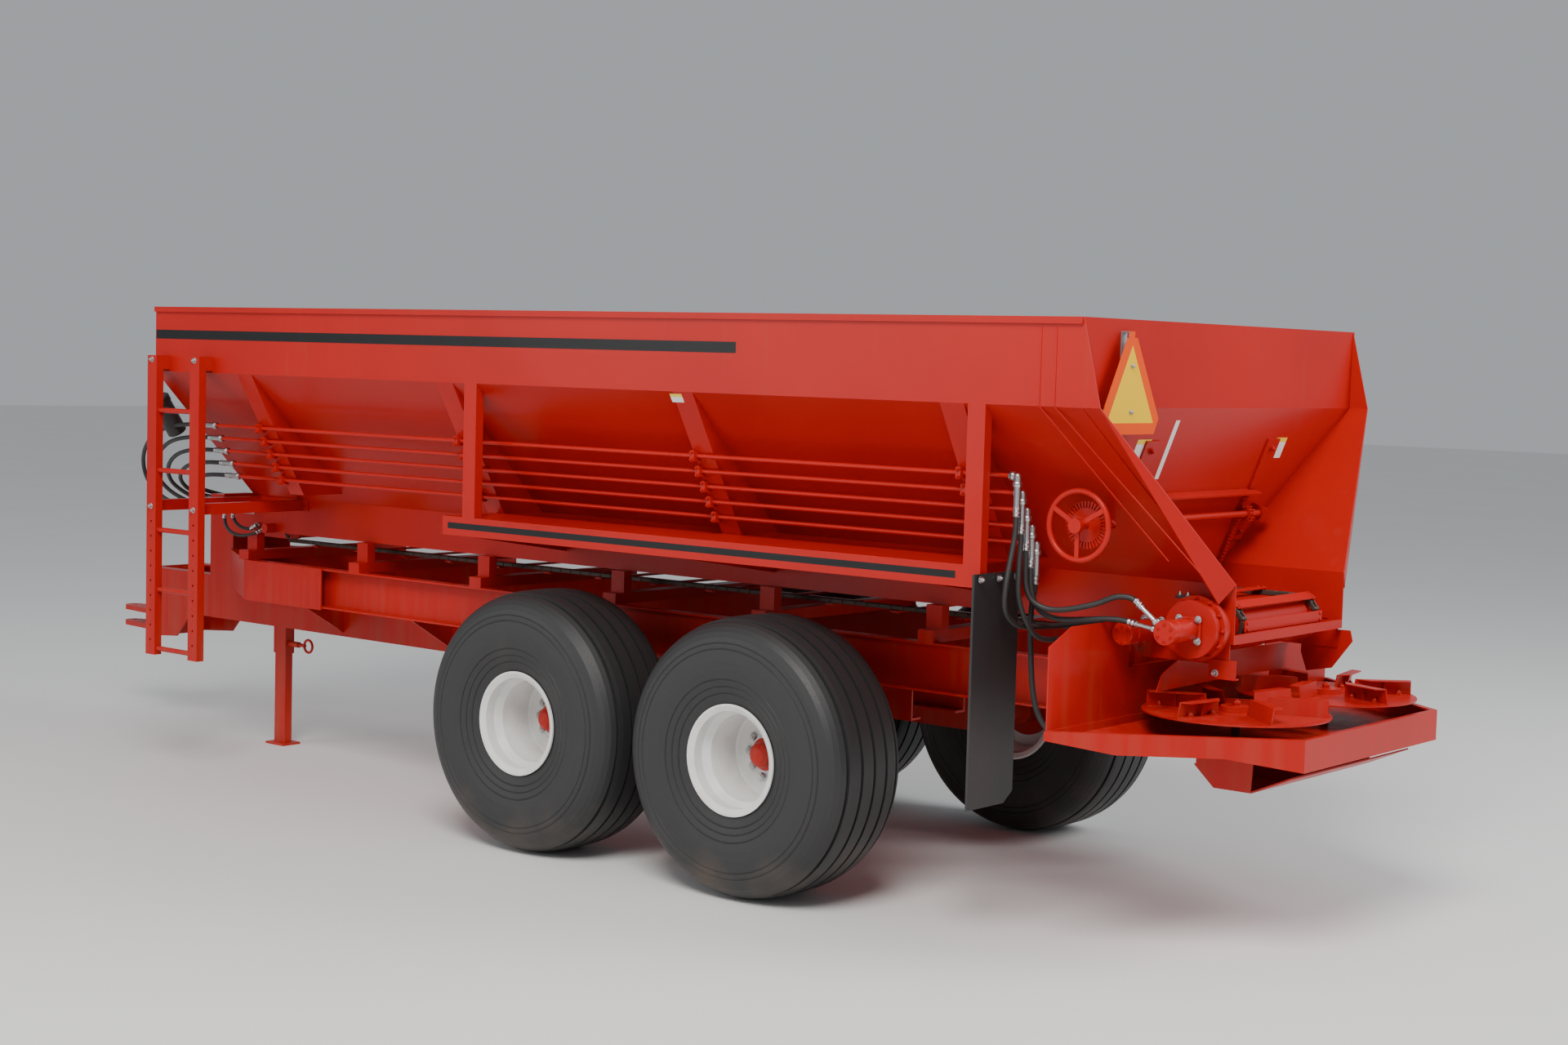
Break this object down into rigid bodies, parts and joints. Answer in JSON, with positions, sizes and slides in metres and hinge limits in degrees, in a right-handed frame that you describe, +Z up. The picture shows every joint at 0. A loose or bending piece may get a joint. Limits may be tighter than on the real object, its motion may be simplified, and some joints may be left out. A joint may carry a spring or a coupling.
{
  "type": "manure spreader",
  "caption": "Towed hopper manure spreader on walking tandem axles, with an apron conveyor, a hand-wound metering gate and twin spinning discs.",
  "frame": {"origin": "middle of the footprint, on the ground", "axes": "+X forward to the hitch, +Y left, +Z up"},
  "size_m": [8.0249, 2.49, 2.373],
  "materials": {
    "red_paint": "gloss",
    "white_paint": "gloss",
    "tyre": "matte",
    "black_rubber": "satin",
    "bright_steel": "satin",
    "dark_metal": "matte",
    "sign": "gloss"
  },
  "bodies": {
    "chassis": {"hopper_side_left": "red_paint", "hopper_side_right": "red_paint", "hopper_front_wall": "red_paint", "hopper_rear_wall": "red_paint", "hopper_floor": "red_paint", "ribs_left": "red_paint", "ribs_right": "red_paint", "deck_left": "red_paint", "deck_right": "red_paint", "mudflap_left": "black_rubber", "mudflap_right": "black_rubber", "main_rails": "red_paint", "cross_members": "red_paint", "tongue": "red_paint", "hitch_clevis": "red_paint", "front_stand": "red_paint", "jack_sleeve": "red_paint", "jack_pin": "bright_steel", "walking_beam_left": "red_paint", "walking_beam_right": "red_paint", "pivot_tube": "red_paint", "conveyor_chain": "dark_metal", "conveyor_shafts": "red_paint", "conveyor_drive": "red_paint", "gate_guides": "red_paint", "spinner_tray": "red_paint", "spinner_shield": "red_paint", "spinner_motors": "dark_metal", "ladder": "red_paint", "hydraulic_tubes": "red_paint", "tube_fittings": "bright_steel", "emblem": "sign", "rear_hose_1": "black_rubber", "rear_hose_2": "black_rubber", "rear_hose_3": "black_rubber", "rear_hose_4": "black_rubber", "rear_hose_5": "black_rubber", "front_hose_1": "black_rubber", "front_hose_2": "black_rubber", "front_hose_3": "black_rubber", "front_hose_4": "black_rubber", "front_hose_5": "black_rubber"},
    "wheel_front_left": {"tyre_front_left": "tyre", "rim_front_left": "white_paint", "hub_front_left": "red_paint"},
    "wheel_front_right": {"tyre_front_right": "tyre", "rim_front_right": "white_paint", "hub_front_right": "red_paint"},
    "wheel_rear_left": {"tyre_rear_left": "tyre", "rim_rear_left": "white_paint", "hub_rear_left": "red_paint"},
    "wheel_rear_right": {"tyre_rear_right": "tyre", "rim_rear_right": "white_paint", "hub_rear_right": "red_paint"},
    "disc_left": {"spinner_disc_left": "red_paint"},
    "disc_right": {"spinner_disc_right": "red_paint"},
    "leg": {"jack_leg": "red_paint"},
    "metering_gate": {"gate": "red_paint"},
    "hand_drive": {"cross_shaft": "red_paint", "handwheel": "red_paint"}
  },
  "joints": [
    {"name": "spin_front_left", "type": "hinge", "parent": "chassis", "child": "wheel_front_left", "pos_m": [-0.5865, 1.005, 0.576], "axis": [0, 1, 0], "continuous": true},
    {"name": "spin_front_right", "type": "hinge", "parent": "chassis", "child": "wheel_front_right", "pos_m": [-0.5865, -1.005, 0.576], "axis": [0, 1, 0], "continuous": true},
    {"name": "spin_rear_left", "type": "hinge", "parent": "chassis", "child": "wheel_rear_left", "pos_m": [-1.8185, 1.005, 0.576], "axis": [0, 1, 0], "continuous": true},
    {"name": "spin_rear_right", "type": "hinge", "parent": "chassis", "child": "wheel_rear_right", "pos_m": [-1.8185, -1.005, 0.576], "axis": [0, 1, 0], "continuous": true},
    {"name": "spin_disc_left", "type": "hinge", "parent": "chassis", "child": "disc_left", "pos_m": [-3.6225, 0.372, 0.904], "axis": [0, 0, 1], "continuous": true},
    {"name": "spin_disc_right", "type": "hinge", "parent": "chassis", "child": "disc_right", "pos_m": [-3.6225, -0.372, 0.904], "axis": [0, 0, 1], "continuous": true},
    {"name": "raise_leg", "type": "slide", "parent": "chassis", "child": "leg", "axis": [0, 0, 1], "range_m": [0, 0.3]},
    {"name": "raise_gate", "type": "slide", "parent": "chassis", "child": "metering_gate", "axis": [-0.3584, 0, 0.9336], "range_m": [0, 0.25]},
    {"name": "turn_handwheel", "type": "hinge", "parent": "chassis", "child": "hand_drive", "pos_m": [-3.21537, 0, 1.604], "axis": [0, -1, 0], "range_deg": [0, 470]}
  ],
  "couplings": [
    {"joint": "turn_handwheel", "follows": "raise_gate", "rad_per_m": 32.725}
  ]
}
